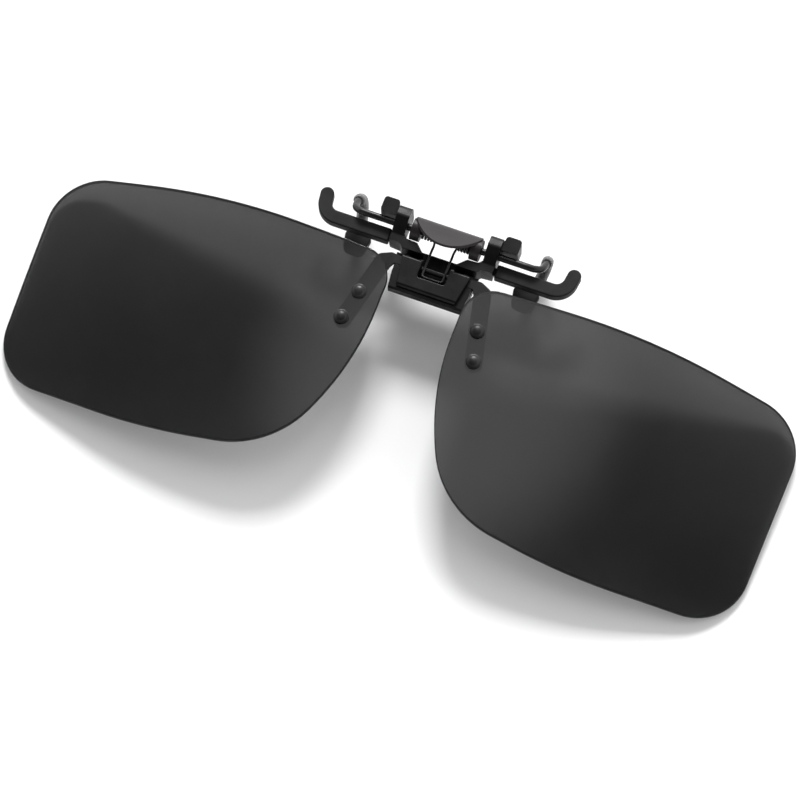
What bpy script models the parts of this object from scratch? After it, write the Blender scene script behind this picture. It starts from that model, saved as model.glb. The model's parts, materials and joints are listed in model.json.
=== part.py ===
"""Flip-up clip-on sunglasses: a spring clamp, a flip block and two tinted lenses.

Everything is drawn in millimetres in the face frame: X across the face, Y up the face and
Z out of the front of the lenses. The glasses lie on their back, so Z also points up, and
place() turns the drawing into metres with the origin on the table under the middle.
"""

import math

import bmesh
import bpy
from mathutils import Vector

MM = 0.001
ORIGIN = Vector((0.0, 13.7, -11.32))  # drawing point that becomes the world origin
SLIP = 0.05                            # slip fit between neighbouring pieces

# axes of the two joints, as (y, z)
FLIP_AXIS = (29.3, -2.2)
JAW_AXIS = (35.4, -0.8)

# lenses: corners (x, y, corner radius) of the right one, seen from the front
LENS_CORNERS = (
    (6.9, 29.0, 5.8), (39.1, 31.2, 143.7), (69.3, 27.3, 9.3), (67.6, -11.4, 9.8),
    (38.3, -13.3, 101.0), (15.5, -10.3, 17.3), (6.9, 8.2, 48.0),
)
LENS_RADIUS = 240.0
LENS_APEX = (0.0, 17.0, 0.3)
LENS_THICK = 1.1

# rivets that hold each lens on its strap
RIVETS = {"upper": (10.8, 21.05), "lower": (12.05, 15.65)}
RIVET_HEAD_R = 1.32
RIVET_SHANK_R = 0.6
RIVET_HOLE_R = 0.7
STRAP_Z = (-2.1, -1.5)
STRAP_CORNERS = (
    (5.75, 28.6, 0.0), (5.75, 30.0, 0.0), (8.2, 30.35, 1.2), (10.45, 29.3, 1.4),
    (13.75, 14.9, 1.2), (10.75, 14.2, 1.2), (7.7, 27.6, 1.2), (7.2, 28.6, 0.0),
)

# lens seat: the block that carries both straps and turns on the flip pin
BASE_Z = (-3.8, -1.3)
COVER_Z = (-1.25, -0.4)
NOSE_R = 1.6
SLOT_HALF = 2.55
SLOT_FLOOR = 27.15
PIN_R = 0.45
PIN_HALF = 5.0

# clamp seat
EAR = (3.3, 4.7)
CHEEK = (7.2, 9.5)
CLAW_START = 9.75
CLAW_Y = 33.35
CLAW_TURN = (19.9, 2.7)                # x of the claw's bend and its radius
CLAW_HALF = 1.22
CLAW_Z = (-3.9, -1.9)
CORE_HALF = 0.65
CORE_Z = (-3.3, -2.5)

# rear jaw
WIRE_R = 0.62
SLEEVE_R = 1.05
PAD_SPOT = (15.65, 31.8)
PAD_FACE_Z = -6.1
PAD_THICK = 1.5
HUB = (4.6, 6.3)
HUB_R = 1.95
PLATE_R = 1.75                         # inside of the thumb plate about the jaw axis
PLATE_THICK = 0.5
PLATE_HALF = 6.0

# torsion spring
SPRING_R = 0.21
COIL_R = 1.08
COIL = (2.1, 4.4)
COIL_TURNS = 4
LEG_X = 1.87


# ------------------------------------------------------------------ scene and materials

def clear_scene():
    for item in list(bpy.data.objects):
        bpy.data.objects.remove(item, do_unlink=True)


def material(name, color, roughness, metallic=0.0, alpha=1.0):
    made = bpy.data.materials.new(name)
    made.use_nodes = True
    shader = made.node_tree.nodes["Principled BSDF"]
    shader.inputs["Base Color"].default_value = (*color, 1.0)
    shader.inputs["Roughness"].default_value = roughness
    shader.inputs["Metallic"].default_value = metallic
    shader.inputs["Alpha"].default_value = alpha
    return made


def world(point):
    return (Vector(point) - ORIGIN) * MM


def axis_empty(name, axis):
    empty = bpy.data.objects.new(name, None)
    empty.location = world((0.0, *axis))
    bpy.context.collection.objects.link(empty)
    return empty


# ------------------------------------------------------------------ mesh helpers

def place(name, mesh_mm, surface, parent=None):
    """Turn a mesh drawn in millimetres into an object, under its joint's empty if it moves."""
    bmesh.ops.recalc_face_normals(mesh_mm, faces=mesh_mm.faces)
    base = parent.location if parent else Vector((0.0, 0.0, 0.0))
    for vert in mesh_mm.verts:
        vert.co = world(vert.co) - base
    mesh = bpy.data.meshes.new(name)
    mesh_mm.to_mesh(mesh)
    mesh_mm.free()
    mesh.shade_smooth()
    mesh.set_sharp_from_angle(angle=math.radians(35))
    mesh.materials.append(surface)
    obj = bpy.data.objects.new(name, mesh)
    obj.parent = parent
    bpy.context.collection.objects.link(obj)
    return obj


def cutter(name, mesh_mm, parent=None):
    obj = place(name, mesh_mm, CUTTER_SURFACE, parent)
    obj.hide_render = True
    obj.display_type = "WIRE"
    return obj


def boolean(obj, tool, operation):
    change = obj.modifiers.new(tool.name, "BOOLEAN")
    change.operation = operation
    change.solver = "EXACT"
    change.object = tool


def cut(obj, name, mesh_mm):
    boolean(obj, cutter(name, mesh_mm, obj.parent), "DIFFERENCE")


def join(obj, name, mesh_mm):
    boolean(obj, cutter(name, mesh_mm, obj.parent), "UNION")


def bevel(obj, width, segments=2):
    change = obj.modifiers.new("edges", "BEVEL")
    change.width = width * MM
    change.segments = segments
    change.limit_method = "ANGLE"
    change.angle_limit = math.radians(40)
    change.use_clamp_overlap = True


def mirrored(corners, side):
    return [(side * corner[0], *corner[1:]) for corner in corners]


def rounded(corners, steps=4):
    """Outline through (x, y, radius) corners, each one turned into an arc."""
    points = []
    for i, (x, y, radius) in enumerate(corners):
        here = Vector((x, y))
        if radius == 0.0:
            points.append(here)
            continue
        back = (Vector(corners[i - 1][:2]) - here).normalized()
        ahead = (Vector(corners[(i + 1) % len(corners)][:2]) - here).normalized()
        half = back.angle(ahead) / 2
        middle = here + (back + ahead).normalized() * (radius / math.sin(half))
        first = here + back * (radius / math.tan(half)) - middle
        last = here + ahead * (radius / math.tan(half)) - middle
        start = math.atan2(first.y, first.x)
        sweep = math.remainder(math.atan2(last.y, last.x) - start, 2 * math.pi)
        for k in range(steps + 1):
            turn = start + sweep * k / steps
            points.append(middle + radius * Vector((math.cos(turn), math.sin(turn))))
    return points


def arc(centre, radius, start, end, steps):
    """Points on an arc, with the angles in degrees."""
    turns = [math.radians(start + (end - start) * k / steps) for k in range(steps + 1)]
    return [Vector((centre[0] + radius * math.cos(t), centre[1] + radius * math.sin(t)))
            for t in turns]


def loft(rings, closed=False):
    """Skin a row of equally long rings of points; open rows get flat ends."""
    mesh = bmesh.new()
    loops = [[mesh.verts.new(point) for point in ring] for ring in rings]
    size = len(loops[0])
    pairs = list(zip(loops, loops[1:]))
    if closed:
        pairs.append((loops[-1], loops[0]))
    else:
        mesh.faces.new(loops[0])
        mesh.faces.new(reversed(loops[-1]))
    for near, far in pairs:
        for k in range(size):
            after = (k + 1) % size
            mesh.faces.new((near[k], far[k], far[after], near[after]))
    return mesh


def slab(outline, low, high):
    """Prism over an outline in the XY plane."""
    return loft([[(p[0], p[1], z) for p in outline] for z in (low, high)])


def bar(profile, low, high):
    """Prism along X over a profile of (y, z) points."""
    return loft([[(x, p[0], p[1]) for p in profile] for x in (low, high)])


def block(x, y, z):
    return slab([(x[0], y[0]), (x[1], y[0]), (x[1], y[1]), (x[0], y[1])], *z)


def disc_outline(centre, radius, sides=20):
    turns = [2 * math.pi * k / sides for k in range(sides)]
    return [(centre[0] + radius * math.cos(t), centre[1] + radius * math.sin(t))
            for t in turns]


def rod_x(axis, radius, low, high, sides=20):
    return bar(disc_outline(axis, radius, sides), low, high)


def turned(centre, profile, sides=20):
    """Solid of revolution about a line along Z; profile of (radius, z), all radii above 0."""
    return loft([[(x, y, z) for x, y in disc_outline(centre, radius, sides)]
                 for radius, z in profile])


def ring_z(centre, inner, outer, low, high, sides=20):
    rings = [[(x, y, z) for x, y in disc_outline(centre, radius, sides)]
             for radius, z in ((inner, low), (outer, low), (outer, high), (inner, high))]
    return loft(rings, closed=True)


def sweep_rings(path, radius, sides):
    """Rings of points square to a path, carried along it without twist."""
    path = [Vector(point) for point in path]
    rings = []
    normal = None
    for i, point in enumerate(path):
        along = (path[min(i + 1, len(path) - 1)] - path[max(i - 1, 0)]).normalized()
        if normal is None:
            normal = along.orthogonal().normalized()
        normal = (normal - along * normal.dot(along)).normalized()
        other = along.cross(normal)
        turns = [2 * math.pi * k / sides for k in range(sides)]
        rings.append([point + radius * (normal * math.cos(t) + other * math.sin(t))
                      for t in turns])
    return rings


def tube(path, radius, sides=10):
    return loft(sweep_rings(path, radius, sides))


def hose(path, inner, outer, sides=10):
    outside = sweep_rings(path, outer, sides)
    inside = sweep_rings(path, inner, sides)
    return loft(outside + inside[::-1], closed=True)


def smooth_path(knots, steps=4):
    """Catmull-Rom curve through the knots."""
    knots = [Vector(k) for k in knots]
    ends = [2 * knots[0] - knots[1]] + knots + [2 * knots[-1] - knots[-2]]
    points = []
    for a, b, c, d in zip(ends, ends[1:], ends[2:], ends[3:]):
        for k in range(steps):
            t = k / steps
            points.append(0.5 * (2 * b + (c - a) * t + (2 * a - 5 * b + 4 * c - d) * t * t
                                 + (3 * b - a - 3 * c + d) * t * t * t))
    return points + [knots[-1]]


# ------------------------------------------------------------------ lens carrier

def lens_front(x, y):
    return LENS_APEX[2] - ((x - LENS_APEX[0]) ** 2 + (y - LENS_APEX[1]) ** 2) / (2 * LENS_RADIUS)


def make_lens(side, name):
    outline = rounded(mirrored(LENS_CORNERS, side), steps=6)
    middle = Vector((side * 38.0, 9.0))
    rings = []
    for scale in (0.06, 0.35, 0.7, 1.0):
        spots = [middle + (p - middle) * scale for p in outline]
        rings.append([(p.x, p.y, lens_front(p.x, p.y)) for p in spots])
    back = [[(x, y, z - LENS_THICK) for x, y, z in ring] for ring in rings]
    obj = place(f"lens_{name}", loft(rings + back[::-1]), LENS_TINT, FLIP)
    for level, (x, y) in RIVETS.items():
        hole = slab(disc_outline((side * x, y), RIVET_HOLE_R, 16), -3.0, 2.0)
        cut(obj, f"{obj.name}_hole_{level}", hole)


def make_strap(side, name):
    outline = rounded(mirrored(STRAP_CORNERS, side))
    obj = place(f"bridge_strap_{name}", slab(outline, *STRAP_Z), BLACK_METAL, FLIP)
    for level, (x, y) in RIVETS.items():
        hole = slab(disc_outline((side * x, y), RIVET_HOLE_R, 16), STRAP_Z[0] - 1, STRAP_Z[1] + 1)
        cut(obj, f"{obj.name}_hole_{level}", hole)


def make_rivet_set(side, name, level):
    """Domed rivet, the washer under the lens and the cap behind the strap."""
    x, y = RIVETS[level]
    centre = (side * x, y)
    seat = lens_front(x, y) + 0.1
    dome = [(RIVET_HEAD_R * math.cos(math.radians(a)), seat + 0.2 + 0.55 * math.sin(math.radians(a)))
            for a in (0, 25, 50, 75)]
    foot = STRAP_Z[0] - 0.75
    shank = [(RIVET_SHANK_R, foot), (RIVET_SHANK_R, seat), (RIVET_HEAD_R, seat)]
    place(f"rivet_{name}_{level}", turned(centre, shank + dome, 16), RIVET_METAL, FLIP)
    washer_top = lens_front(x, y) - LENS_THICK - 0.12
    washer = ring_z(centre, RIVET_HOLE_R, 1.25, STRAP_Z[1] + SLIP, washer_top, 16)
    place(f"lens_washer_{name}_{level}", washer, CLEAR_NYLON, FLIP)
    cap = ring_z(centre, RIVET_SHANK_R + SLIP, 1.15, STRAP_Z[0] - 0.65, STRAP_Z[0] - SLIP, 16)
    place(f"rivet_cap_{name}_{level}", cap, RIVET_METAL, FLIP)


def tapered(profile, wide, narrow):
    """Prism along X whose half-width follows y, from (half, y) wide to (half, y) narrow."""
    def half(y):
        share = (y - narrow[1]) / (wide[1] - narrow[1])
        return narrow[0] + (wide[0] - narrow[0]) * share
    return loft([[(sign * half(p[0]), p[0], p[1]) for p in profile] for sign in (-1, 1)])


def slot_shape():
    corners = [(-SLOT_HALF, SLOT_FLOOR, 0.5), (SLOT_HALF, SLOT_FLOOR, 0.5),
               (SLOT_HALF, 32.5, 0.0), (-SLOT_HALF, 32.5, 0.0)]
    return slab(rounded(corners), -5.0, 1.0)


def make_seat_base():
    low, high = BASE_Z
    nose = arc(FLIP_AXIS, NOSE_R, -90, 34, 7)
    profile = [Vector((24.0, high - 0.3)), Vector((24.0, low + 0.5)), Vector((24.5, low))]
    profile += nose + [Vector((24.3, high))]
    obj = place("lens_seat_base", tapered(profile, (7.4, 29.9), (6.7, 24.0)), BLACK_PLASTIC, FLIP)
    cut(obj, "base_slot", slot_shape())
    for sign, name in ((-1, "left"), (1, "right")):
        notch_x = sorted((sign * (EAR[0] - 0.15), sign * (EAR[1] + 0.15)))
        notch = block(notch_x, (FLIP_AXIS[0] - 1.0, 33.0), (low - 1.0, 0.0))
        cut(obj, f"base_notch_{name}", notch)
        pocket_x = sorted((sign * 5.65, sign * 9.5))
        pocket = block(pocket_x, (28.45, 33.0), (STRAP_Z[0] - SLIP, 0.5))
        cut(obj, f"base_pocket_{name}", pocket)
        run = block(sorted((sign * 7.05, sign * 9.5)), (27.3, 33.0), (STRAP_Z[0] - SLIP, 0.5))
        cut(obj, f"base_strap_run_{name}", run)
    cut(obj, "base_pin_bore", rod_x(FLIP_AXIS, PIN_R + SLIP, -PIN_HALF - 0.1, PIN_HALF + 0.1))


def make_seat_cover():
    low, high = COVER_Z
    profile = [(24.6, low), (24.6, high - 0.35), (24.95, high), (30.05, high), (30.4, high - 0.35),
               (30.4, low)]
    obj = place("lens_seat_cover", tapered(profile, (6.3, 30.4), (5.4, 24.6)), GLOSS_BLACK, FLIP)
    cut(obj, "cover_slot", slot_shape())


# ------------------------------------------------------------------ clip body

def ear_profile():
    y, z = FLIP_AXIS
    knuckle = arc((y, z), 0.85, 0, 180, 8)
    return [Vector((y - 0.85, -4.6)), Vector((y + 0.85, -4.6))] + knuckle


def cheek_profile():
    corners = [(32.2, -4.3, 0.6), (38.4, -4.3, 0.6), (38.4, 0.9, 1.1), (36.2, 1.4, 1.0),
               (33.6, -0.6, 0.8), (32.2, -0.6, 0.3)]
    return rounded(corners, steps=3)


def claw_outline(side, half, start):
    """J-shaped hook: a bar, a bend and a short straight end with a round tip."""
    turn_x, turn_r = CLAW_TURN
    centre = (turn_x, CLAW_Y + turn_r)
    end_angle = -8.0
    outer = arc(centre, turn_r + half, -90, end_angle, 8)
    inner = arc(centre, turn_r - half, end_angle, -90, 8)
    lean = math.radians(end_angle)
    along = Vector((-math.sin(lean), math.cos(lean)))
    tip = Vector(centre) + turn_r * Vector((math.cos(lean), math.sin(lean))) + 1.35 * along
    cap = arc(tip, half, end_angle, end_angle + 180, 6)
    points = [Vector((start, CLAW_Y - half))] + outer + cap + inner
    points.append(Vector((start, CLAW_Y + half)))
    return [Vector((side * p.x, p.y)) for p in points]


def make_clamp_seat():
    back = rounded([(-6.4, 27.2, 0.8), (6.4, 27.2, 0.8), (6.4, 33.0, 0.5), (-6.4, 33.0, 0.5)])
    obj = place("clamp_seat", slab(back, -5.2, -4.15), BLACK_PLASTIC)
    for sign, name in ((-1, "left"), (1, "right")):
        join(obj, f"seat_ear_{name}", bar(ear_profile(), *sorted((sign * EAR[0], sign * EAR[1]))))
        strut = [(2.95, 31.45, 0.0), (6.9, 31.45, 0.0), (7.5, 32.1, 0.0), (9.45, 32.25, 0.0),
                 (9.45, 34.0, 0.0), (7.3, 34.0, 0.0), (6.6, 33.2, 0.5), (4.6, 33.1, 0.4)]
        join(obj, f"seat_strut_{name}", slab(rounded(mirrored(strut, sign)), -4.6, -0.6))
        cheek = bar(cheek_profile(), *sorted((sign * CHEEK[0], sign * CHEEK[1])))
        join(obj, f"seat_cheek_{name}", cheek)
        lug = [(9.3, 36.3, 0.0), (12.6, 36.3, 0.4), (12.6, 39.1, 0.6), (9.8, 39.1, 0.6),
               (9.7, 38.1, 0.0), (9.3, 38.0, 0.0)]
        join(obj, f"seat_lug_{name}", slab(rounded(mirrored(lug, sign)), -4.1, 0.6))
        core = claw_outline(sign, CORE_HALF, 9.2)
        join(obj, f"seat_claw_core_{name}", slab(core, *CORE_Z))
    cut(obj, "seat_jaw_bore", rod_x(JAW_AXIS, WIRE_R + 0.08, -10.0, 10.0))
    cut(obj, "seat_pin_bore", rod_x(FLIP_AXIS, PIN_R + SLIP, -5.5, 5.5, 16))


def make_claw_sleeve(side, name):
    obj = place(f"front_claw_sleeve_{name}",
                slab(claw_outline(side, CLAW_HALF, CLAW_START), *CLAW_Z), CLAW_RUBBER)
    bevel(obj, 0.3)
    core = claw_outline(side, CORE_HALF + SLIP, 9.0)
    cut(obj, f"claw_socket_{name}", slab(core, CORE_Z[0] - SLIP, CORE_Z[1] + SLIP))


def make_flip_pin():
    place("flip_hinge_pin", rod_x(FLIP_AXIS, PIN_R, -PIN_HALF, PIN_HALF, 16), STEEL)


def spring_path():
    """One half of the double torsion spring, from the outer tail to the middle of the U."""
    y0, z0 = JAW_AXIS
    points = []
    steps = COIL_TURNS * 12 + 3
    for k in range(steps + 1):
        share = k / steps
        turn = math.radians(90) + share * (COIL_TURNS + 0.25) * 2 * math.pi
        x = COIL[1] + (COIL[0] - COIL[1]) * share
        points.append((x, y0 + COIL_R * math.sin(turn), z0 + COIL_R * math.cos(turn)))
    points += [(LEG_X, y0 - 1.5, z0 - 1.0), (LEG_X, 32.6, -1.6), (LEG_X, 28.3, -1.37),
               (LEG_X - 0.15, 27.9, -1.35), (LEG_X - 0.5, 27.72, -1.35)]
    return points


def make_spring():
    half = spring_path()
    other = [(-x, y, z) for x, y, z in reversed(half)]
    place("torsion_spring", tube(half + other, SPRING_R, 6), STEEL)


# ------------------------------------------------------------------ rear jaw

def plate_profile(offset):
    """Side view (y, z) of the thumb plate: an arc over the axle, then a sloping flat."""
    y0, z0 = JAW_AXIS
    radius = PLATE_R + offset
    points = []
    for degrees in (100, 85, 70, 55, 42, 30):
        turn = math.radians(degrees)
        points.append(Vector((y0 + radius * math.sin(turn), z0 + radius * math.cos(turn))))
    slope = Vector((-math.cos(math.radians(30)), math.sin(math.radians(30))))
    for reach in (1.0, 2.0, 3.0, 4.2):
        points.append(points[5] + slope * reach)
    return points


def plate_point(profile, share):
    """Point at a share of the profile's length."""
    lengths = [(b - a).length for a, b in zip(profile, profile[1:])]
    left = share * sum(lengths)
    for a, b, length in zip(profile, profile[1:], lengths):
        if left <= length:
            return a + (b - a) * (left / length)
        left -= length
    return profile[-1]


def plate_end(x):
    """How far down the profile the crescent reaches at x."""
    return 1.0 - 0.66 * (abs(x) / PLATE_HALF) ** 2.2


def make_thumb_plate():
    inside = plate_profile(0.0)
    outside = plate_profile(PLATE_THICK)
    columns = 16
    rows = 10
    rings = []
    for i in range(columns + 1):
        x = PLATE_HALF * (2 * i / columns - 1)
        end = plate_end(x)
        face = [plate_point(outside, end * k / rows) for k in range(rows + 1)]
        rear = [plate_point(inside, end * k / rows) for k in range(rows, -1, -1)]
        rings.append([(x, p.x, p.y) for p in face + rear])
    obj = place("thumb_plate", loft(rings), PLATE_METAL, JAW)
    for sign, name in ((-1, "left"), (1, "right")):
        join(obj, f"plate_hub_{name}",
             rod_x(JAW_AXIS, HUB_R, *sorted((sign * HUB[0], sign * HUB[1])), 24))
    cut(obj, "plate_bore", rod_x(JAW_AXIS, WIRE_R + SLIP, -8.0, 8.0, 20))


def arch_path(side):
    """Jaw wire beyond the cheek: out of the axle line, over the rim and forward into the pad."""
    knots = [(15.9, JAW_AXIS[0], JAW_AXIS[1]), (17.1, 36.2, -1.7), (17.4, 38.1, -3.4),
             (17.2, 39.2, -5.6), (16.9, 38.4, -8.4), (16.4, 35.9, -10.14), (15.9, 33.5, -10.07),
             (15.7, 32.05, -9.1), (*PAD_SPOT, -8.2)]
    return [(side * p.x, p.y, p.z) for p in smooth_path(knots)]


def make_jaw_wire():
    left = arch_path(-1)
    right = arch_path(1)
    seat_z = PAD_FACE_Z - 0.75
    inner_ends = [(-PAD_SPOT[0], PAD_SPOT[1], seat_z)] + left[::-1]
    axle = [(x, *JAW_AXIS) for x in (-8.0, 0.0, 8.0)]
    path = inner_ends + axle + right + [(*PAD_SPOT, seat_z)]
    place("jaw_wire", tube(path, WIRE_R, 10), BLACK_WIRE, JAW)


def make_jaw_sleeve(side, name):
    path = arch_path(side)[8:29]
    place(f"jaw_sleeve_{name}", hose(path, WIRE_R + SLIP, SLEEVE_R), GREY_SILICONE, JAW)


def make_rear_pad(side, name):
    corners = [(13.8, 29.5, 1.3), (17.3, 29.5, 1.3), (18.2, 33.9, 1.2), (13.0, 33.9, 1.2)]
    back = PAD_FACE_Z - PAD_THICK
    obj = place(f"rear_pad_{name}",
                slab(rounded(mirrored(corners, side)), back, PAD_FACE_Z), CLAW_RUBBER, JAW)
    bevel(obj, 0.3)
    centre = (side * PAD_SPOT[0], PAD_SPOT[1])
    join(obj, f"pad_boss_{name}", slab(disc_outline(centre, 1.25), back - 0.9, back + 0.4))
    bore = slab(disc_outline(centre, WIRE_R + SLIP), back - 2.0, PAD_FACE_Z - 0.7)
    cut(obj, f"pad_bore_{name}", bore)


# ------------------------------------------------------------------ assembly

clear_scene()
CUTTER_SURFACE = material("cutter", (0.8, 0.2, 0.2), 0.5)
BLACK_PLASTIC = material("black_plastic", (0.012, 0.012, 0.014), 0.35)
GLOSS_BLACK = material("gloss_black", (0.014, 0.014, 0.016), 0.22)
CLAW_RUBBER = material("claw_rubber", (0.028, 0.028, 0.03), 0.6)
BLACK_METAL = material("black_metal", (0.018, 0.018, 0.02), 0.3, 0.6)
BLACK_WIRE = material("black_wire", (0.02, 0.02, 0.022), 0.25, 0.7)
PLATE_METAL = material("plate_metal", (0.042, 0.036, 0.037), 0.4, 0.4)
STEEL = material("spring_steel", (0.35, 0.34, 0.34), 0.3, 1.0)
RIVET_METAL = material("rivet_metal", (0.05, 0.05, 0.052), 0.25, 0.8)
CLEAR_NYLON = material("clear_nylon", (0.6, 0.6, 0.6), 0.4, 0.0, 0.6)
GREY_SILICONE = material("grey_silicone", (0.32, 0.32, 0.33), 0.4, 0.0, 0.7)
LENS_TINT = material("lens_tint", (0.03, 0.03, 0.033), 0.05, 0.0, 0.85)
FLIP = axis_empty("flip_axis", FLIP_AXIS)
JAW = axis_empty("jaw_axis", JAW_AXIS)

make_clamp_seat()
make_flip_pin()
make_spring()
make_thumb_plate()
make_jaw_wire()
make_seat_base()
make_seat_cover()
for hand, label in ((-1, "left"), (1, "right")):
    make_claw_sleeve(hand, label)
    make_jaw_sleeve(hand, label)
    make_rear_pad(hand, label)
    make_strap(hand, label)
    make_lens(hand, label)
    for row in RIVETS:
        make_rivet_set(hand, label, row)
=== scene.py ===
import json
import math

import bmesh
import bpy
from mathutils import Matrix, Vector

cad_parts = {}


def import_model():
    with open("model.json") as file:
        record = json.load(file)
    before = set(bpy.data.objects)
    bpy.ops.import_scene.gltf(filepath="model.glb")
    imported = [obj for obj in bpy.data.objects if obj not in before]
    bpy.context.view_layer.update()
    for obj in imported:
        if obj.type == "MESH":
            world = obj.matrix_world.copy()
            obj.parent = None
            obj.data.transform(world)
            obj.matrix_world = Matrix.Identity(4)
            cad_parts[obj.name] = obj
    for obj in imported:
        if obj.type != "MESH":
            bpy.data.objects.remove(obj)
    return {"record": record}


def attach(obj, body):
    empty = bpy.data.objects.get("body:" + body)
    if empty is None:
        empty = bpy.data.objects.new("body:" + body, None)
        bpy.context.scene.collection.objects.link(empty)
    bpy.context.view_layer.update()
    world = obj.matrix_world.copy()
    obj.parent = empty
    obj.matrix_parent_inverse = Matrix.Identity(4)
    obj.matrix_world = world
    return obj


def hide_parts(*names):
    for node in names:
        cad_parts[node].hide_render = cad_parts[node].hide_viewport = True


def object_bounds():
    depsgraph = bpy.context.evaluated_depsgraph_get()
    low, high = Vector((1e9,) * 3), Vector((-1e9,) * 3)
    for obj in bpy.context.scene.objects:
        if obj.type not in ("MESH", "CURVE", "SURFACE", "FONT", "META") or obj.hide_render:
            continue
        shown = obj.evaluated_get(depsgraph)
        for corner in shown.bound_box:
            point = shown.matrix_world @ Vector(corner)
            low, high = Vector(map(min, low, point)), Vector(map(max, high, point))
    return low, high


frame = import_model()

cad_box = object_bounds()

# Flip-up clip-on sunglasses. Pieces are drawn in millimetres in the face frame: X across the
# face, Y up the face and Z out of the lens fronts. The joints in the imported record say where
# that drawing lies.
MM = 0.001
JOINTS = {joint["name"]: joint for joint in frame["record"]["behaviour"]["joints"]}
FLIP_AXIS = (29.3, -2.2)
FLIP_PLACE = Vector(JOINTS["lens_flip"]["pos_m"]) / MM
ORIGIN = Vector((0.0, *FLIP_AXIS)) - FLIP_PLACE
JAW_PLACE = Vector(JOINTS["jaw_open"]["pos_m"]) / MM + ORIGIN
JAW_AXIS = (JAW_PLACE.y, JAW_PLACE.z)
SLIP = 0.05                            # slip fit between neighbouring pieces

# lenses: corners (x, y, corner radius) of the right one, seen from the front
LENS_CORNERS = (
    (6.9, 29.0, 5.8), (39.1, 31.2, 143.7), (69.3, 27.3, 9.3), (67.6, -11.4, 9.8),
    (38.3, -13.3, 101.0), (15.5, -10.3, 17.3), (6.9, 8.2, 48.0),
)
LENS_RADIUS = 240.0
LENS_APEX = (0.0, 17.0, 0.3)
LENS_THICK = 1.1
LENS_MIDDLE = (38.0, 9.0)
LENS_EDGE_EASE = 0.16
LENS_SPACING = 1.2                     # about the gap between points of the lens outline

# rivets, and the straps they hold the lenses on
RIVETS = {"upper": (10.8, 21.05), "lower": (12.05, 15.65)}
RIVET_HEAD_R = 1.32
RIVET_RISE = 0.55
RIVET_SHANK_R = 0.6
RIVET_HOLE_R = 0.7
STRAP_Z = (-2.1, -1.5)
STRAP_CORNERS = (
    (5.75, 28.6, 0.0), (5.75, 30.0, 0.0), (8.2, 30.35, 1.2), (10.45, 29.3, 1.4),
    (13.75, 14.9, 1.2), (10.75, 14.2, 1.2), (7.7, 27.6, 1.2), (7.2, 28.6, 0.0),
)

# lens seat: the block that carries both straps and turns on the flip pin
BASE_Z = (-3.8, -1.3)
COVER_Z = (-1.25, -0.4)
NOSE_R = 1.6
SLOT_HALF = 2.55
SLOT_FLOOR = 27.15
PIN_R = 0.45
PIN_HALF = 5.0

# clamp seat and claws
EAR = (3.3, 4.7)
CHEEK = (7.2, 9.5)
CLAW_START = 9.75
CLAW_Y = 33.35
CLAW_TURN = (19.9, 2.7)                # x of the middle of the claw's bend, and its radius
CLAW_END = -8.0                        # angle at which the bend ends, in degrees
CLAW_TIP = 1.35                        # length of the straight end after the bend
CLAW_HALF = 1.22
CLAW_Z = (-3.9, -1.9)
CORE_HALF = 0.65
CORE_Z = (-3.3, -2.5)

# rear jaw
WIRE_R = 0.62
SLEEVE_R = 1.05
SLEEVE_SPAN = slice(20, 71)            # the points of the arch that the soft tube covers
PAD_SPOT = (15.65, 31.8)
PAD_FACE_Z = -6.1
PAD_THICK = 1.5
HUB = (4.6, 6.3)
HUB_R = 1.95
PLATE_R = 1.75                         # inner radius of the thumb plate's arc
PLATE_THICK = 0.5
PLATE_HALF = 6.0
PLATE_BEND = 30                        # angle from +Z at which the arc ends, in degrees
PLATE_REACH = 4.2                      # length of the flat part after it

# torsion spring
SPRING_R = 0.21
COIL_R = 1.08
COIL = (2.1, 4.4)
COIL_TURNS = 4
LEG_X = 1.87

# camera, seen from the object: bearing, height, and which way on the table is up in the view
CAMERA_AZIMUTH = 23.82
CAMERA_ELEVATION = 70.52
CAMERA_UP_TURN = 20.40
CAMERA_TARGET = (0.002487, -0.008263, 0.00967)
CAMERA_DISTANCE = 0.57344
CAMERA_LENS = 151.74

# the room: the middle of its dark part, the angles at which that ends and the bright part
# begins, and the brightness of both
SKY_AIM = (-0.1, -0.28, 0.94)
SKY_ANGLES = (25.0, 82.0)
SKY_LOW = 0.09
SKY_HIGH = 2.1

# the soft lamp overhead: its direction, the angle at which it has faded out, its brightness
LAMP_AIM = (-0.06, 0.26, 0.965)
LAMP_ANGLE = 21.5
LAMP_HIGH = 1.4

# area lights: place, size, power in watts and colour; all of them point at the origin
KEY_PLACE = (-0.3, 1.05, 0.85)
KEY_SIZE = (0.5, 0.35)
KEY_POWER = 22.0
WINDOW_PLACE = (-0.96, 0.14, 0.62)
WINDOW_SIZE = (0.5, 0.16)
WINDOW_POWER = 0.5
WINDOW_SHADE = (0.78, 0.8, 1.0)

# half the table's width, and its distance below the object, in metres
TABLE_HALF = 1.5
TABLE_GAP = 0.00003


# ------------------------------------------------------------------ materials

def node_link(tree, source, socket, target, name):
    """Link a node's output socket to a named input of another."""
    tree.links.new(source.outputs[socket], target.inputs[name])


def noise(tree, coords, scale, detail=3.0, stretch=(1.0, 1.0, 1.0)):
    mapping = tree.nodes.new("ShaderNodeMapping")
    mapping.inputs["Scale"].default_value = stretch
    made = tree.nodes.new("ShaderNodeTexNoise")
    made.inputs["Scale"].default_value = scale
    made.inputs["Detail"].default_value = detail
    node_link(tree, coords, "Object", mapping, "Vector")
    node_link(tree, mapping, "Vector", made, "Vector")
    return made


def spread(tree, source, low, high):
    """Turn a noise value into the range from low to high."""
    made = tree.nodes.new("ShaderNodeMapRange")
    made.inputs["From Min"].default_value = 0.3
    made.inputs["From Max"].default_value = 0.7
    made.inputs["To Min"].default_value = low
    made.inputs["To Max"].default_value = high
    node_link(tree, source, "Fac", made, "Value")
    return made


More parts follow.
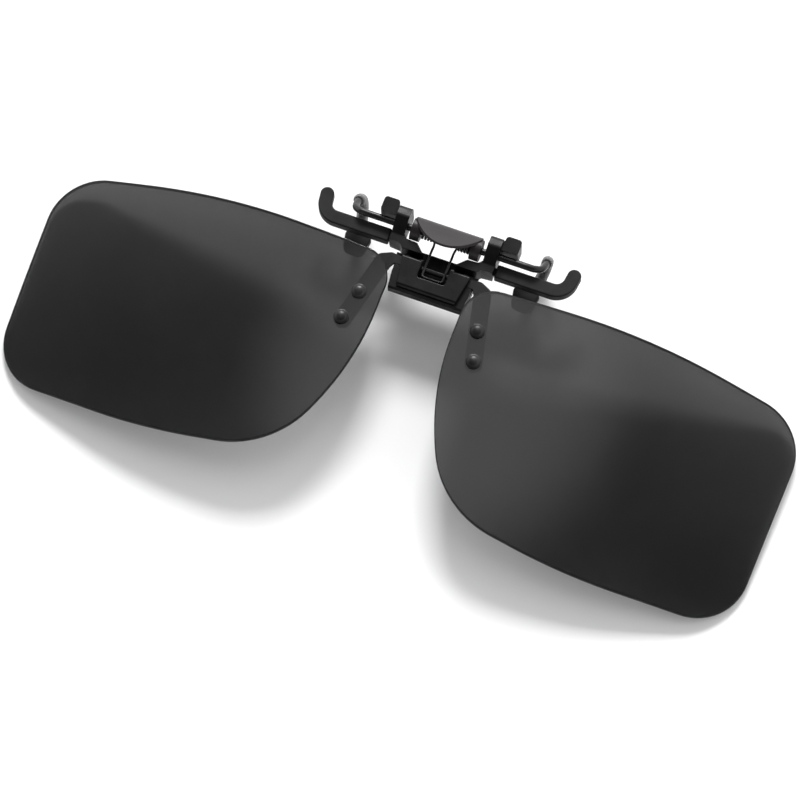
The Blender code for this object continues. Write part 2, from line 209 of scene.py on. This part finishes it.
def finish_material(name, dark, light, roughness, grain, bump, metallic=0.0, alpha=1.0,
                    coat=0.0, stretch=(1.0, 1.0, 1.0), blotch=260.0, specular=0.5):
    """Principled surface whose colour, gloss and relief all vary a little.

    dark and light are the ends of the colour's range, roughness a (low, high) pair and
    grain the fineness of the relief, per metre.
    """
    made = bpy.data.materials.new(name)
    made.use_nodes = True
    tree = made.node_tree
    shader = tree.nodes["Principled BSDF"]
    coords = tree.nodes.new("ShaderNodeTexCoord")
    tone = noise(tree, coords, blotch, 4.0, stretch)
    ramp = tree.nodes.new("ShaderNodeValToRGB")
    ramp.color_ramp.elements[0].position = 0.35
    ramp.color_ramp.elements[0].color = (*dark, 1.0)
    ramp.color_ramp.elements[1].position = 0.68
    ramp.color_ramp.elements[1].color = (*light, 1.0)
    node_link(tree, tone, "Fac", ramp, "Fac")
    node_link(tree, ramp, "Color", shader, "Base Color")
    smear = noise(tree, coords, blotch * 2.3, 3.0, stretch)
    node_link(tree, spread(tree, smear, *roughness), "Result", shader, "Roughness")
    relief = noise(tree, coords, grain, 2.0, stretch)
    bumps = tree.nodes.new("ShaderNodeBump")
    bumps.inputs["Strength"].default_value = bump
    bumps.inputs["Distance"].default_value = 0.00004
    node_link(tree, relief, "Fac", bumps, "Height")
    node_link(tree, bumps, "Normal", shader, "Normal")
    shader.inputs["Metallic"].default_value = metallic
    shader.inputs["Alpha"].default_value = alpha
    shader.inputs["Coat Weight"].default_value = coat
    shader.inputs["Coat Roughness"].default_value = 0.12
    shader.inputs["Specular IOR Level"].default_value = specular
    return made


def make_materials():
    return {
        "black_plastic": finish_material(
            "black_plastic", (0.0025, 0.0025, 0.0028), (0.006, 0.006, 0.0063), (0.30, 0.44),
            5200.0, 0.35, specular=0.13),
        "gloss_black": finish_material(
            "gloss_black", (0.0025, 0.0025, 0.0028), (0.0055, 0.0055, 0.006), (0.24, 0.36),
            4200.0, 0.22, specular=0.15),
        "claw_rubber": finish_material(
            "claw_rubber", (0.006, 0.006, 0.0065), (0.0115, 0.0115, 0.012), (0.5, 0.64),
            6500.0, 0.5, specular=0.16),
        "black_metal": finish_material(
            "black_metal", (0.006, 0.006, 0.0065), (0.013, 0.0125, 0.013), (0.24, 0.38),
            3600.0, 0.2, metallic=0.3, stretch=(1.0, 0.2, 1.0), specular=0.25),
        "black_wire": finish_material(
            "black_wire", (0.006, 0.006, 0.0065), (0.014, 0.014, 0.0145), (0.22, 0.34),
            3000.0, 0.15, metallic=0.3, specular=0.3),
        "plate_metal": finish_material(
            "plate_metal", (0.013, 0.011, 0.0112), (0.023, 0.020, 0.020), (0.36, 0.48),
            4200.0, 0.25, metallic=0.15, stretch=(0.25, 1.0, 1.0), specular=0.22),
        "spring_steel": finish_material(
            "spring_steel", (0.012, 0.012, 0.012), (0.035, 0.034, 0.033), (0.26, 0.4),
            5200.0, 0.2, metallic=0.7),
        "rivet_metal": finish_material(
            "rivet_metal", (0.009, 0.0085, 0.0085), (0.022, 0.021, 0.021), (0.28, 0.42),
            4000.0, 0.25, metallic=0.4, specular=0.3),
        "clear_nylon": finish_material(
            "clear_nylon", (0.40, 0.40, 0.40), (0.55, 0.55, 0.55), (0.35, 0.5),
            3000.0, 0.2, alpha=0.6),
        "grey_silicone": finish_material(
            "grey_silicone", (0.08, 0.08, 0.08), (0.15, 0.15, 0.148), (0.30, 0.45),
            2600.0, 0.3, alpha=0.78, specular=0.35),
        "lens_tint": finish_material(
            "lens_tint", (0.005, 0.005, 0.0055), (0.008, 0.008, 0.0085), (0.03, 0.06),
            420.0, 0.02, alpha=0.77, blotch=60.0),
        "lens_edge": finish_material(
            "lens_edge", (0.004, 0.004, 0.005), (0.009, 0.009, 0.011), (0.45, 0.6),
            3600.0, 0.3, alpha=0.98, stretch=(1.0, 1.0, 0.2), specular=0.12),
    }


# ------------------------------------------------------------------ shape helpers

def world(point):
    return (Vector(point) - ORIGIN) * MM


def shape(name, mesh_mm, surface):
    """Object from a mesh drawn in millimetres."""
    bmesh.ops.recalc_face_normals(mesh_mm, faces=mesh_mm.faces)
    for vert in mesh_mm.verts:
        vert.co = world(vert.co)
    mesh = bpy.data.meshes.new(name)
    mesh_mm.to_mesh(mesh)
    mesh_mm.free()
    mesh.materials.append(SURFACES[surface])
    obj = bpy.data.objects.new(name, mesh)
    bpy.context.collection.objects.link(obj)
    return obj


def combine(obj, mesh_mm, operation):
    """Boolean with a helper shape, applied at once so that no cutter stays in the scene."""
    tool = shape("tool", mesh_mm, "black_plastic")
    change = obj.modifiers.new("combine", "BOOLEAN")
    change.operation = operation
    change.solver = "EXACT"
    change.object = tool
    graph = bpy.context.evaluated_depsgraph_get()
    result = bpy.data.meshes.new_from_object(obj.evaluated_get(graph), depsgraph=graph)
    obj.modifiers.clear()
    obj.data = result
    bpy.data.objects.remove(tool, do_unlink=True)


def cut(obj, mesh_mm):
    combine(obj, mesh_mm, "DIFFERENCE")


def join(obj, mesh_mm):
    combine(obj, mesh_mm, "UNION")


def soften(obj, width, segments=3, angle=35):
    """Round the edges, then shade smooth."""
    change = obj.modifiers.new("edges", "BEVEL")
    change.width = width * MM
    change.segments = segments
    change.limit_method = "ANGLE"
    change.angle_limit = math.radians(angle)
    change.use_clamp_overlap = True
    change.harden_normals = True
    obj.data.shade_smooth()
    obj.data.set_sharp_from_angle(angle=math.radians(60))


def smooth(obj, angle=40):
    obj.data.shade_smooth()
    obj.data.set_sharp_from_angle(angle=math.radians(angle))


def settle(obj, body, slot, *nodes):
    """The piece stands for its CAD nodes and moves with their body."""
    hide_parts(*nodes)
    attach(obj, body)


def mirrored(corners, side):
    return [(side * corner[0], *corner[1:]) for corner in corners]


def rounded(corners, steps=8):
    """Outline through (x, y, radius) corners, each one turned into an arc."""
    points = []
    for i, (x, y, radius) in enumerate(corners):
        here = Vector((x, y))
        if radius == 0.0:
            points.append(here)
            continue
        back = (Vector(corners[i - 1][:2]) - here).normalized()
        ahead = (Vector(corners[(i + 1) % len(corners)][:2]) - here).normalized()
        half = back.angle(ahead) / 2
        middle = here + (back + ahead).normalized() * (radius / math.sin(half))
        first = here + back * (radius / math.tan(half)) - middle
        last = here + ahead * (radius / math.tan(half)) - middle
        start = math.atan2(first.y, first.x)
        sweep = math.remainder(math.atan2(last.y, last.x) - start, 2 * math.pi)
        for k in range(steps + 1):
            turn = start + sweep * k / steps
            points.append(middle + radius * Vector((math.cos(turn), math.sin(turn))))
    return points


def resampled(outline, spacing):
    """The same outline, its long sides split into parts of about the spacing."""
    points = []
    for a, b in zip(outline, outline[1:] + outline[:1]):
        parts = max(1, round((b - a).length / spacing))
        points += [a.lerp(b, k / parts) for k in range(parts)]
    return points


def arc(centre, radius, start, end, steps):
    """Points on an arc, with the angles in degrees."""
    turns = [math.radians(start + (end - start) * k / steps) for k in range(steps + 1)]
    return [Vector((centre[0] + radius * math.cos(t), centre[1] + radius * math.sin(t)))
            for t in turns]


def loft(rings, closed=False):
    """Skin a row of equally long rings of points; open rows get flat ends."""
    mesh = bmesh.new()
    loops = [[mesh.verts.new(point) for point in ring] for ring in rings]
    size = len(loops[0])
    pairs = list(zip(loops, loops[1:]))
    if closed:
        pairs.append((loops[-1], loops[0]))
    else:
        mesh.faces.new(loops[0])
        mesh.faces.new(reversed(loops[-1]))
    for near, far in pairs:
        for k in range(size):
            after = (k + 1) % size
            mesh.faces.new((near[k], far[k], far[after], near[after]))
    return mesh


def slab(outline, low, high):
    """Prism over an outline in the XY plane."""
    return loft([[(p[0], p[1], z) for p in outline] for z in (low, high)])


def bar(profile, low, high):
    """Prism along X over a profile of (y, z) points."""
    return loft([[(x, p[0], p[1]) for p in profile] for x in (low, high)])


def block(x, y, z):
    return slab([(x[0], y[0]), (x[1], y[0]), (x[1], y[1]), (x[0], y[1])], *z)


def disc_outline(centre, radius, sides=40):
    turns = [2 * math.pi * k / sides for k in range(sides)]
    return [(centre[0] + radius * math.cos(t), centre[1] + radius * math.sin(t))
            for t in turns]


def rod_x(axis, radius, low, high, sides=40):
    return bar(disc_outline(axis, radius, sides), low, high)


def turned(centre, profile, sides=40, closed=False):
    """Solid of revolution about a line along Z; profile of (radius, z), all radii above 0."""
    return loft([[(x, y, z) for x, y in disc_outline(centre, radius, sides)]
                 for radius, z in profile], closed)


def sweep_rings(path, radius, sides):
    """Rings of points square to a path; radius may be a list with one value a point."""
    path = [Vector(point) for point in path]
    radii = radius if isinstance(radius, list) else [radius] * len(path)
    rings = []
    normal = None
    for i, point in enumerate(path):
        along = (path[min(i + 1, len(path) - 1)] - path[max(i - 1, 0)]).normalized()
        if normal is None:
            normal = along.orthogonal().normalized()
        normal = (normal - along * normal.dot(along)).normalized()
        other = along.cross(normal)
        turns = [2 * math.pi * k / sides for k in range(sides)]
        rings.append([point + radii[i] * (normal * math.cos(t) + other * math.sin(t))
                      for t in turns])
    return rings


def smooth_path(knots, steps=10):
    """Catmull-Rom curve through the knots."""
    knots = [Vector(k) for k in knots]
    ends = [2 * knots[0] - knots[1]] + knots + [2 * knots[-1] - knots[-2]]
    points = []
    for a, b, c, d in zip(ends, ends[1:], ends[2:], ends[3:]):
        for k in range(steps):
            t = k / steps
            points.append(0.5 * (2 * b + (c - a) * t + (2 * a - 5 * b + 4 * c - d) * t * t
                                 + (3 * b - a - 3 * c + d) * t * t * t))
    return points + [knots[-1]]


# ------------------------------------------------------------------ lens carrier

def lens_front(x, y):
    return LENS_APEX[2] - ((x - LENS_APEX[0]) ** 2 + (y - LENS_APEX[1]) ** 2) / (2 * LENS_RADIUS)


def lens_edge_profile():
    """(inset, depth below the front face) round the lens edge, with both corners eased."""
    ease = LENS_EDGE_EASE
    points = [(ease + 0.06, 0.0)]
    for degrees in (90, 60, 30, 0):
        turn = math.radians(degrees)
        points.append((ease * (1 - math.cos(turn)), ease * (1 - math.sin(turn))))
    return points + [(inset, LENS_THICK - depth) for inset, depth in reversed(points)]


def make_lens(side, name):
    outline = resampled(rounded(mirrored(LENS_CORNERS, side), 14), LENS_SPACING)
    middle = Vector((side * LENS_MIDDLE[0], LENS_MIDDLE[1]))
    shares = (0.03, 0.2, 0.4, 0.6, 0.8, 0.93)
    face = []
    for share in shares:
        spots = [middle + (p - middle) * share for p in outline]
        face.append([(p.x, p.y, lens_front(p.x, p.y)) for p in spots])
    rim = []
    for inset, depth in lens_edge_profile():
        spots = [p + (middle - p).normalized() * inset for p in outline]
        rim.append([(p.x, p.y, lens_front(p.x, p.y) - depth) for p in spots])
    back = [[(x, y, z - LENS_THICK) for x, y, z in ring] for ring in reversed(face)]
    obj = shape(f"lens_{name}_piece", loft(face + rim + back), "lens_tint")
    obj.data.materials.append(SURFACES["lens_edge"])
    size = len(outline)
    rim_start = 2 + (len(face) + 1) * size
    rim_end = 2 + (len(face) + len(rim) - 2) * size
    for polygon in obj.data.polygons[rim_start:rim_end]:
        polygon.material_index = 1
    for x, y in RIVETS.values():
        cut(obj, slab(disc_outline((side * x, y), RIVET_HOLE_R), -3.0, 2.0))
    smooth(obj, 50)
    settle(obj, "lens_carrier", "lens_tint", f"lens_{name}")


def make_strap(side, name):
    outline = rounded(mirrored(STRAP_CORNERS, side))
    obj = shape(f"bridge_strap_{name}_piece", slab(outline, *STRAP_Z), "black_metal")
    for x, y in RIVETS.values():
        hole = slab(disc_outline((side * x, y), RIVET_HOLE_R), STRAP_Z[0] - 1, STRAP_Z[1] + 1)
        cut(obj, hole)
    soften(obj, 0.14)
    settle(obj, "lens_carrier", "black_metal", f"bridge_strap_{name}")


def make_rivet(side, name, level):
    """Domed head with a turned-down rim, on its shank."""
    x, y = RIVETS[level]
    seat = lens_front(x, y) + 0.1
    profile = [(RIVET_SHANK_R - 0.08, STRAP_Z[0] - 0.75), (RIVET_SHANK_R, STRAP_Z[0] - 0.67),
               (RIVET_SHANK_R, seat), (RIVET_HEAD_R - 0.07, seat), (RIVET_HEAD_R, seat + 0.07),
               (RIVET_HEAD_R, seat + 0.16), (RIVET_HEAD_R - 0.06, seat + 0.22),
               (RIVET_HEAD_R - 0.2, seat + 0.24)]
    dome_r = RIVET_HEAD_R - 0.24
    for degrees in range(0, 90, 8):
        turn = math.radians(degrees)
        profile.append((dome_r * math.cos(turn),
                        seat + 0.24 + (RIVET_RISE - 0.04) * math.sin(turn)))
    obj = shape(f"rivet_{name}_{level}_piece", turned((side * x, y), profile), "rivet_metal")
    smooth(obj, 50)
    settle(obj, "lens_carrier", "rivet_metal", f"rivet_{name}_{level}")


def eased_ring(inner, outer, low, high, ease):
    """Profile (radius, z) of a flat ring with eased corners."""
    return [(inner, low + ease), (inner + ease, low), (outer - ease, low), (outer, low + ease),
            (outer, high - ease), (outer - ease, high), (inner + ease, high),
            (inner, high - ease)]


def make_rivet_fittings(side, name, level):
    x, y = RIVETS[level]
    centre = (side * x, y)
    top = lens_front(x, y) - LENS_THICK - 0.12
    ring = eased_ring(RIVET_HOLE_R, 1.25, STRAP_Z[1] + SLIP, top, 0.05)
    washer = shape(f"lens_washer_{name}_{level}_piece", turned(centre, ring, closed=True),
                   "clear_nylon")
    smooth(washer)
    settle(washer, "lens_carrier", "clear_nylon", f"lens_washer_{name}_{level}")
    ring = eased_ring(RIVET_SHANK_R + SLIP, 1.15, STRAP_Z[0] - 0.65, STRAP_Z[0] - SLIP, 0.12)
    cap = shape(f"rivet_cap_{name}_{level}_piece", turned(centre, ring, closed=True),
                "rivet_metal")
    smooth(cap)
    settle(cap, "lens_carrier", "rivet_metal", f"rivet_cap_{name}_{level}")


def tapered(profile, wide, narrow):
    """Prism along X whose half-width follows y, from (half, y) wide to (half, y) narrow."""
    def half(y):
        share = (y - narrow[1]) / (wide[1] - narrow[1])
        return narrow[0] + (wide[0] - narrow[0]) * share
    return loft([[(sign * half(p[0]), p[0], p[1]) for p in profile] for sign in (-1, 1)])


def slot_shape():
    corners = [(-SLOT_HALF, SLOT_FLOOR, 0.5), (SLOT_HALF, SLOT_FLOOR, 0.5),
               (SLOT_HALF, 32.5, 0.0), (-SLOT_HALF, 32.5, 0.0)]
    return slab(rounded(corners), -5.0, 1.0)


def make_seat_base():
    low, high = BASE_Z
    nose = arc(FLIP_AXIS, NOSE_R, -90, 34, 16)
    profile = [Vector((24.0, high - 0.3)), Vector((24.0, low + 0.5)), Vector((24.5, low))]
    profile += nose + [Vector((24.3, high))]
    obj = shape("lens_seat_base_piece", tapered(profile, (7.4, 29.9), (6.7, 24.0)),
                "black_plastic")
    cut(obj, slot_shape())
    for sign in (-1, 1):
        notch_x = sorted((sign * (EAR[0] - 0.15), sign * (EAR[1] + 0.15)))
        cut(obj, block(notch_x, (FLIP_AXIS[0] - 1.0, 33.0), (low - 1.0, 0.0)))
        pocket_x = sorted((sign * 5.65, sign * 9.5))
        cut(obj, block(pocket_x, (28.45, 33.0), (STRAP_Z[0] - SLIP, 0.5)))
        run_x = sorted((sign * 7.05, sign * 9.5))
        cut(obj, block(run_x, (27.3, 33.0), (STRAP_Z[0] - SLIP, 0.5)))
    cut(obj, rod_x(FLIP_AXIS, PIN_R + SLIP, -PIN_HALF - 0.1, PIN_HALF + 0.1))
    soften(obj, 0.16)
    settle(obj, "lens_carrier", "black_plastic", "lens_seat_base")


def make_seat_cover():
    low, high = COVER_Z
    profile = [(24.6, low), (24.6, high - 0.35), (24.95, high), (30.05, high), (30.4, high - 0.35),
               (30.4, low)]
    obj = shape("lens_seat_cover_piece", tapered(profile, (6.3, 30.4), (5.4, 24.6)),
                "gloss_black")
    cut(obj, slot_shape())
    soften(obj, 0.2)
    settle(obj, "lens_carrier", "gloss_black", "lens_seat_cover")


# ------------------------------------------------------------------ clip body

def ear_profile():
    y, z = FLIP_AXIS
    knuckle = arc((y, z), 0.85, 0, 180, 16)
    return [Vector((y - 0.85, -4.6)), Vector((y + 0.85, -4.6))] + knuckle


def cheek_profile():
    corners = [(32.2, -4.3, 0.6), (38.4, -4.3, 0.6), (38.4, 0.9, 1.1), (36.2, 1.4, 1.0),
               (33.6, -0.6, 0.8), (32.2, -0.6, 0.3)]
    return rounded(corners, 6)


def claw_outline(side, half, start, steps=20):
    """J-shaped hook: a bar, a bend and a short straight end with a round tip."""
    turn_x, turn_r = CLAW_TURN
    centre = (turn_x, CLAW_Y + turn_r)
    outer = arc(centre, turn_r + half, -90, CLAW_END, steps)
    inner = arc(centre, turn_r - half, CLAW_END, -90, steps)
    lean = math.radians(CLAW_END)
    along = Vector((-math.sin(lean), math.cos(lean)))
    tip = Vector(centre) + turn_r * Vector((math.cos(lean), math.sin(lean))) + CLAW_TIP * along
    cap = arc(tip, half, CLAW_END, CLAW_END + 180, steps)
    points = [Vector((start, CLAW_Y - half))] + outer + cap[1:-1] + inner
    points.append(Vector((start, CLAW_Y + half)))
    return [Vector((side * p.x, p.y)) for p in points]


def make_clamp_seat():
    back = rounded([(-6.4, 27.2, 0.8), (6.4, 27.2, 0.8), (6.4, 33.0, 0.5), (-6.4, 33.0, 0.5)])
    obj = shape("clamp_seat_piece", slab(back, -5.2, -4.15), "black_plastic")
    for sign in (-1, 1):
        join(obj, bar(ear_profile(), *sorted((sign * EAR[0], sign * EAR[1]))))
        strut = [(2.95, 31.45, 0.0), (6.9, 31.45, 0.0), (7.5, 32.1, 0.0), (9.45, 32.25, 0.0),
                 (9.45, 34.0, 0.0), (7.3, 34.0, 0.0), (6.6, 33.2, 0.5), (4.6, 33.1, 0.4)]
        join(obj, slab(rounded(mirrored(strut, sign)), -4.6, -0.6))
        join(obj, bar(cheek_profile(), *sorted((sign * CHEEK[0], sign * CHEEK[1]))))
        lug = [(9.3, 36.3, 0.0), (12.6, 36.3, 0.4), (12.6, 39.1, 0.6), (9.8, 39.1, 0.6),
               (9.7, 38.1, 0.0), (9.3, 38.0, 0.0)]
        join(obj, slab(rounded(mirrored(lug, sign)), -4.1, 0.6))
        join(obj, slab(claw_outline(sign, CORE_HALF, 9.2), *CORE_Z))
    cut(obj, rod_x(JAW_AXIS, WIRE_R + 0.08, -10.0, 10.0))
    cut(obj, rod_x(FLIP_AXIS, PIN_R + SLIP, -5.5, 5.5))
    soften(obj, 0.18)
    settle(obj, "clip_body", "black_plastic", "clamp_seat")


def make_claw_sleeve(side, name):
    obj = shape(f"front_claw_sleeve_{name}_piece",
                slab(claw_outline(side, CLAW_HALF, CLAW_START), *CLAW_Z), "claw_rubber")
    core = claw_outline(side, CORE_HALF + SLIP, 9.0)
    cut(obj, slab(core, CORE_Z[0] - SLIP, CORE_Z[1] + SLIP))
    soften(obj, 0.38, 4)
    settle(obj, "clip_body", "claw_rubber", f"front_claw_sleeve_{name}")


def make_flip_pin():
    rings = [(-PIN_HALF, PIN_R - 0.1), (-PIN_HALF + 0.1, PIN_R), (PIN_HALF - 0.1, PIN_R),
             (PIN_HALF, PIN_R - 0.1)]
    mesh = loft([[(x, y, z) for y, z in disc_outline(FLIP_AXIS, radius)] for x, radius in rings])
    obj = shape("flip_hinge_pin_piece", mesh, "spring_steel")
    smooth(obj)
    settle(obj, "clip_body", "spring_steel", "flip_hinge_pin")


def spring_path():
    """One half of the double torsion spring, from the outer tail to the middle of the U."""
    y0, z0 = JAW_AXIS
    points = []
    steps = COIL_TURNS * 24 + 6
    for k in range(steps + 1):
        share = k / steps
        turn = math.radians(90) + share * (COIL_TURNS + 0.25) * 2 * math.pi
        x = COIL[1] + (COIL[0] - COIL[1]) * share
        points.append(Vector((x, y0 + COIL_R * math.sin(turn), z0 + COIL_R * math.cos(turn))))
    leg = [(COIL[0], y0, z0 - COIL_R), (LEG_X, y0 - 1.5, z0 - 1.0), (LEG_X, 32.6, -1.6),
           (LEG_X, 28.3, -1.37), (LEG_X - 0.15, 27.9, -1.35), (LEG_X - 0.5, 27.72, -1.35)]
    return points + smooth_path(leg, 6)[1:]


def make_spring():
    half = spring_path()
    other = [(-x, y, z) for x, y, z in reversed(half)]
    obj = shape("torsion_spring_piece", loft(sweep_rings(half + other, SPRING_R, 14)),
                "spring_steel")
    smooth(obj, 60)
    settle(obj, "clip_body", "spring_steel", "torsion_spring")


# ------------------------------------------------------------------ rear jaw

def plate_profile(offset):
    """Side view (y, z) of the thumb plate: an arc over the axle, then a sloping flat."""
    y0, z0 = JAW_AXIS
    radius = PLATE_R + offset
    points = []
    for degrees in range(100, PLATE_BEND - 1, -5):
        turn = math.radians(degrees)
        points.append(Vector((y0 + radius * math.sin(turn), z0 + radius * math.cos(turn))))
    lean = math.radians(PLATE_BEND)
    slope = Vector((-math.cos(lean), math.sin(lean)))
    bend = points[-1]
    for k in range(1, 13):
        points.append(bend + slope * (PLATE_REACH * k / 12))
    return points


def plate_point(profile, share):
    """Point at a share of the profile's length."""
    lengths = [(b - a).length for a, b in zip(profile, profile[1:])]
    left = share * sum(lengths)
    for a, b, length in zip(profile, profile[1:], lengths):
        if left <= length:
            return a + (b - a) * (left / length)
        left -= length
    return profile[-1]


def plate_end(x):
    """How far down the profile the crescent reaches at x."""
    return 1.0 - 0.66 * (abs(x) / PLATE_HALF) ** 2.2


def make_thumb_plate():
    inside = plate_profile(0.0)
    outside = plate_profile(PLATE_THICK)
    columns = 48
    rows = 28
    rings = []
    for i in range(columns + 1):
        x = PLATE_HALF * (2 * i / columns - 1)
        end = plate_end(x)
        face = [plate_point(outside, end * k / rows) for k in range(rows + 1)]
        rear = [plate_point(inside, end * k / rows) for k in range(rows, -1, -1)]
        rings.append([(x, p.x, p.y) for p in face + rear])
    obj = shape("thumb_plate_piece", loft(rings), "plate_metal")
    for sign in (-1, 1):
        join(obj, rod_x(JAW_AXIS, HUB_R, *sorted((sign * HUB[0], sign * HUB[1])), 48))
    cut(obj, rod_x(JAW_AXIS, WIRE_R + SLIP, -8.0, 8.0))
    soften(obj, 0.15, 3, 50)
    settle(obj, "rear_jaw", "plate_metal", "thumb_plate")


def arch_path(side):
    """Jaw wire beyond the cheek: out of the axle line, over the rim and forward into the pad."""
    knots = [(15.9, JAW_AXIS[0], JAW_AXIS[1]), (17.1, 36.2, -1.7), (17.4, 38.1, -3.4),
             (17.2, 39.2, -5.6), (16.9, 38.4, -8.4), (16.4, 35.9, -10.14), (15.9, 33.5, -10.07),
             (15.7, 32.05, -9.1), (*PAD_SPOT, -8.2)]
    return [(side * p.x, p.y, p.z) for p in smooth_path(knots)]


def make_jaw_wire():
    left = arch_path(-1)
    right = arch_path(1)
    end = PAD_FACE_Z - 0.75
    axle = [(x, *JAW_AXIS) for x in range(-14, 15, 2)]
    path = [(-PAD_SPOT[0], PAD_SPOT[1], end)] + left[::-1] + axle + right + [(*PAD_SPOT, end)]
    obj = shape("jaw_wire_piece", loft(sweep_rings(path, WIRE_R, 24)), "black_wire")
    smooth(obj, 60)
    settle(obj, "rear_jaw", "black_wire", "jaw_wire")


def make_jaw_sleeve(side, name):
    """Soft tube over the arch, with eased ends."""
    path = arch_path(side)[SLEEVE_SPAN]
    last = len(path) - 1
    outer = [SLEEVE_R - 0.2 * max(0.0, 1 - min(i, last - i) / 2) ** 2 for i in range(last + 1)]
    outside = sweep_rings(path, outer, 28)
    inside = sweep_rings(path, WIRE_R + SLIP, 28)
    obj = shape(f"jaw_sleeve_{name}_piece", loft(outside + inside[::-1], closed=True),
                "grey_silicone")
    smooth(obj, 60)
    settle(obj, "rear_jaw", "grey_silicone", f"jaw_sleeve_{name}")


def make_rear_pad(side, name):
    corners = [(13.8, 29.5, 1.3), (17.3, 29.5, 1.3), (18.2, 33.9, 1.2), (13.0, 33.9, 1.2)]
    back = PAD_FACE_Z - PAD_THICK
    obj = shape(f"rear_pad_{name}_piece",
                slab(rounded(mirrored(corners, side)), back, PAD_FACE_Z), "claw_rubber")
    centre = (side * PAD_SPOT[0], PAD_SPOT[1])
    join(obj, slab(disc_outline(centre, 1.25), back - 0.9, back + 0.4))
    cut(obj, slab(disc_outline(centre, WIRE_R + SLIP), back - 2.0, PAD_FACE_Z - 0.7))
    soften(obj, 0.25)
    settle(obj, "rear_jaw", "claw_rubber", f"rear_pad_{name}")


# ------------------------------------------------------------------ table, light, camera

def make_table():
    mesh = bmesh.new()
    bmesh.ops.create_grid(mesh, x_segments=2, y_segments=2, size=TABLE_HALF)
    data = bpy.data.meshes.new("table")
    mesh.to_mesh(data)
    mesh.free()
    data.materials.append(finish_material(
        "table", (0.83, 0.83, 0.83), (0.85, 0.85, 0.85), (0.55, 0.65), 900.0, 0.03,
        blotch=12.0))
    obj = bpy.data.objects.new("table", data)
    obj.location = (0.0, 0.0, cad_box[0].z - TABLE_GAP)
    bpy.context.collection.objects.link(obj)


def area_light(name, place, size, power, shade=(1.0, 1.0, 1.0)):
    data = bpy.data.lights.new(name, "AREA")
    data.shape = "RECTANGLE"
    data.size, data.size_y = size
    data.energy = power
    data.color = shade
    obj = bpy.data.objects.new(name, data)
    obj.location = place
    obj.rotation_euler = (-Vector(place)).to_track_quat("-Z", "Y").to_euler()
    bpy.context.collection.objects.link(obj)


def glow(tree, coords, aim, angles, levels):
    """Brightness that runs from one level to the other between two angles off a direction."""
    toward = tree.nodes.new("ShaderNodeVectorMath")
    toward.operation = "DOT_PRODUCT"
    toward.inputs[1].default_value = Vector(aim).normalized()
    tree.links.new(coords.outputs["Generated"], toward.inputs[0])
    fade = tree.nodes.new("ShaderNodeMapRange")
    fade.interpolation_type = "SMOOTHERSTEP"
    fade.inputs["From Min"].default_value = math.cos(math.radians(angles[1]))
    fade.inputs["From Max"].default_value = math.cos(math.radians(angles[0]))
    fade.inputs["To Min"].default_value = levels[1]
    fade.inputs["To Max"].default_value = levels[0]
    tree.links.new(toward.outputs["Value"], fade.inputs["Value"])
    return fade


def make_sky():
    """Soft room: bright walls, a dark ceiling and one soft lamp in it."""
    sky = bpy.data.worlds.new("studio")
    sky.use_nodes = True
    tree = sky.node_tree
    background = tree.nodes["Background"]
    coords = tree.nodes.new("ShaderNodeTexCoord")
    room = glow(tree, coords, SKY_AIM, SKY_ANGLES, (SKY_LOW, SKY_HIGH))
    lamp = glow(tree, coords, LAMP_AIM, (0.0, LAMP_ANGLE), (LAMP_HIGH, 0.0))
    both = tree.nodes.new("ShaderNodeMath")
    both.operation = "ADD"
    tree.links.new(room.outputs["Result"], both.inputs[0])
    tree.links.new(lamp.outputs["Result"], both.inputs[1])
    tree.links.new(both.outputs["Value"], background.inputs["Strength"])
    background.inputs["Color"].default_value = (1.0, 1.0, 1.0, 1.0)
    bpy.context.scene.world = sky


def make_light():
    make_sky()
    area_light("key", KEY_PLACE, KEY_SIZE, KEY_POWER)
    area_light("window", WINDOW_PLACE, WINDOW_SIZE, WINDOW_POWER, WINDOW_SHADE)
    bpy.context.scene.view_settings.view_transform = "Standard"


def make_camera():
    data = bpy.data.cameras.new("camera")
    data.lens = CAMERA_LENS
    data.sensor_width = 36.0
    azimuth = math.radians(CAMERA_AZIMUTH)
    rise = math.radians(CAMERA_ELEVATION)
    back = Vector((math.sin(azimuth) * math.cos(rise), -math.cos(azimuth) * math.cos(rise),
                   math.sin(rise)))
    turn = math.radians(CAMERA_UP_TURN)
    hint = Vector((-math.sin(turn), math.cos(turn), 0.0))
    right = hint.cross(back).normalized()
    up = back.cross(right)
    obj = bpy.data.objects.new("camera", data)
    place = Matrix((right, up, back)).transposed().to_4x4()
    place.translation = Vector(CAMERA_TARGET) + back * CAMERA_DISTANCE
    obj.matrix_world = place
    data.clip_start = 0.05
    data.clip_end = 5.0
    bpy.context.collection.objects.link(obj)
    bpy.context.scene.camera = obj


# ------------------------------------------------------------------ assembly

SURFACES = make_materials()
make_camera()
make_light()
make_table()
make_clamp_seat()
make_flip_pin()
make_spring()
make_thumb_plate()
make_jaw_wire()
make_seat_base()
make_seat_cover()
for hand, label in ((-1, "left"), (1, "right")):
    make_claw_sleeve(hand, label)
    make_jaw_sleeve(hand, label)
    make_rear_pad(hand, label)
    make_strap(hand, label)
    make_lens(hand, label)
    for row in RIVETS:
        make_rivet(hand, label, row)
        make_rivet_fittings(hand, label, row)
